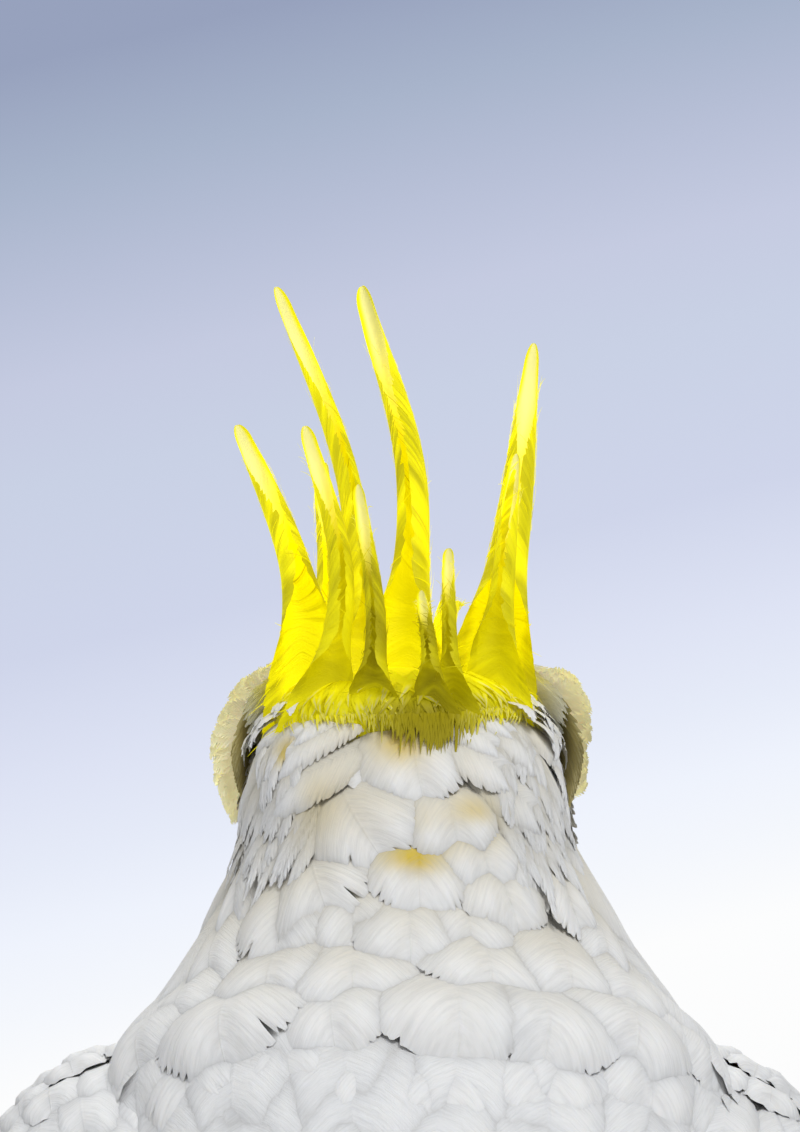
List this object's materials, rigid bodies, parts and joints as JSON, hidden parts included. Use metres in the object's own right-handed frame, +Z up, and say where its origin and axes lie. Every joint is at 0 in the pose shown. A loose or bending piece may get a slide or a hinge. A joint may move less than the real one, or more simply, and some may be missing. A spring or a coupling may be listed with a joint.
{
  "type": "sulphur-crested cockatoo",
  "caption": "White cockatoo standing on its feet and the end of its tail, wings folded, crest raised; a still, life-size model of the whole bird.",
  "frame": {"origin": "on the floor, under the middle of the bird's box", "axes": "+Z up, -Y where the bird faces, +X its left side"},
  "size_m": [0.181, 0.3594, 0.4071],
  "materials": {
    "white_feather": "matt, soft white feathers",
    "crest_feather": "matt, lemon yellow feathers",
    "cheek_feather": "matt, cream feathers",
    "bill_horn": "satin black horn",
    "claw_horn": "satin black horn",
    "leg_skin": "matt dark grey scaly skin",
    "eye": "wet, glossy dark brown"
  },
  "bodies": {
    "root": {"head": "white_feather", "neck": "white_feather", "trunk": "white_feather", "wing_left": "white_feather", "wing_right": "white_feather", "tail": "white_feather", "thigh_left": "white_feather", "thigh_right": "white_feather", "crest": "crest_feather", "ruff_left": "cheek_feather", "ruff_right": "cheek_feather", "bill_upper": "bill_horn", "bill_lower": "bill_horn", "eye_left": "eye", "eye_right": "eye", "shank_left": "leg_skin", "toe_left_front_inner": "leg_skin", "claw_left_front_inner": "claw_horn", "toe_left_front_outer": "leg_skin", "claw_left_front_outer": "claw_horn", "toe_left_rear_outer": "leg_skin", "claw_left_rear_outer": "claw_horn", "toe_left_rear_inner": "leg_skin", "claw_left_rear_inner": "claw_horn", "shank_right": "leg_skin", "toe_right_front_inner": "leg_skin", "claw_right_front_inner": "claw_horn", "toe_right_front_outer": "leg_skin", "claw_right_front_outer": "claw_horn", "toe_right_rear_outer": "leg_skin", "claw_right_rear_outer": "claw_horn", "toe_right_rear_inner": "leg_skin", "claw_right_rear_inner": "claw_horn"}
  },
  "joints": []
}
